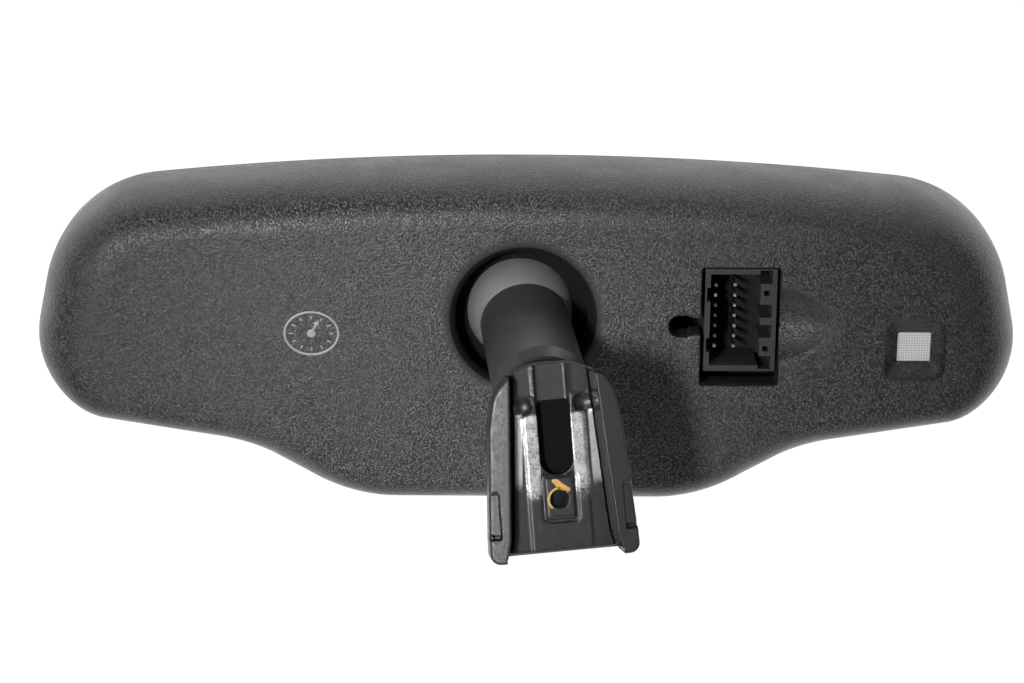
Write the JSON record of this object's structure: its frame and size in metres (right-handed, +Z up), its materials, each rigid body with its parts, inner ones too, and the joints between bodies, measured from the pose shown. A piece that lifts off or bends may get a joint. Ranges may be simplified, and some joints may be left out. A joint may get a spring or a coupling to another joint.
{
  "type": "interior rearview mirror",
  "caption": "Wide self-dimming interior mirror head on a ball pivot, with a tube arm, a dovetail windshield foot, a harness socket in its back and chin buttons.",
  "frame": {"origin": "on the foot's seat plane, on the channel's centre line, 3.6 mm in from its open end", "axes": "+X runs along the mirror head, +Z is up, the glass faces +Y and the foot faces -Y"},
  "size_m": [0.24, 0.0942, 0.0827],
  "materials": {
    "grained_black_plastic": "fine grained, dark grey black",
    "bezel_plastic": "smooth satin black",
    "button_plastic": "satin black cap",
    "mirror_glass": "tinted mirror glass",
    "clear_glass": "clear float glass",
    "seal_epoxy": "cured seal",
    "gel": "clear dimming gel",
    "copper_strip": "tinned copper strip",
    "foam": "closed-cell foam tape",
    "inner_plastic": "plain moulded black",
    "screw_steel": "zinc plated",
    "board": "green solder mask",
    "chip": "moulded epoxy",
    "capacitor_can": "aluminium can with a sleeve",
    "clear_plastic": "clear acrylic",
    "white_lens": "white diffusing, fine grid",
    "header_plastic": "moulded black nylon",
    "gold_pins": "plated square pins",
    "cast_zinc": "die cast, black, worn bright where it slides",
    "socket_plastic": "filled nylon",
    "ball_metal": "satin machined ball",
    "tube_black": "smooth satin black",
    "black_steel": "black oxide"
  },
  "bodies": {
    "arm": {"mount_foot": "cast_zinc", "arm_tube": "tube_black", "pivot_ball": "ball_metal", "set_screw": "black_steel"},
    "liner": {"ball_liner": "socket_plastic"},
    "cup": {"socket_cup": "socket_plastic"},
    "head": {"rear_housing": "grained_black_plastic", "front_bezel": "bezel_plastic", "front_glass": "clear_glass", "rear_glass": "mirror_glass", "ec_seal": "seal_epoxy", "ec_gel": "gel", "upper_bus_bar": "copper_strip", "lower_bus_bar": "copper_strip", "foam_pad": "foam", "carrier_plate": "inner_plastic", "carrier_screws": "screw_steel", "circuit_board": "board", "board_screws": "screw_steel", "microcontroller": "chip", "dimming_driver": "chip", "capacitors": "capacitor_can", "glare_sensor": "chip", "glare_light_pipe": "clear_plastic", "ambient_sensor": "chip", "ambient_light_lens": "white_lens", "tact_switches": "chip", "indicator_led": "clear_plastic", "indicator_light_pipe": "clear_plastic", "connector_header": "header_plastic", "connector_pins": "gold_pins", "socket_frame": "cast_zinc", "frame_screws": "screw_steel", "clamp_ring": "cast_zinc", "clamp_screws": "screw_steel"},
    "left_button": {"button_left": "button_plastic"},
    "centre_button": {"button_centre": "button_plastic"},
    "right_button": {"button_right": "button_plastic"}
  },
  "joints": [
    {"name": "ball_twist", "type": "hinge", "parent": "arm", "child": "liner", "pos_m": [-0.00959, 0.06288, 0.03511], "axis": [0.1295, -0.9577, -0.2571], "range_deg": [-20, 20]},
    {"name": "ball_tilt", "type": "hinge", "parent": "liner", "child": "cup", "pos_m": [-0.00959, 0.06288, 0.03511], "axis": [1, 0, 0], "range_deg": [-2, 31]},
    {"name": "ball_pan", "type": "hinge", "parent": "cup", "child": "head", "pos_m": [-0.00959, 0.06288, 0.03511], "axis": [0, 0, 1], "range_deg": [-4, 17]},
    {"name": "press_left", "type": "slide", "parent": "head", "child": "left_button", "axis": [0, -1, 0], "range_m": [0, 0.0008], "stiffness_N_per_m": 600, "springref_m": -0.0004},
    {"name": "press_centre", "type": "slide", "parent": "head", "child": "centre_button", "axis": [0, -1, 0], "range_m": [0, 0.0008], "stiffness_N_per_m": 600, "springref_m": -0.0004},
    {"name": "press_right", "type": "slide", "parent": "head", "child": "right_button", "axis": [0, -1, 0], "range_m": [0, 0.0008], "stiffness_N_per_m": 600, "springref_m": -0.0004}
  ]
}
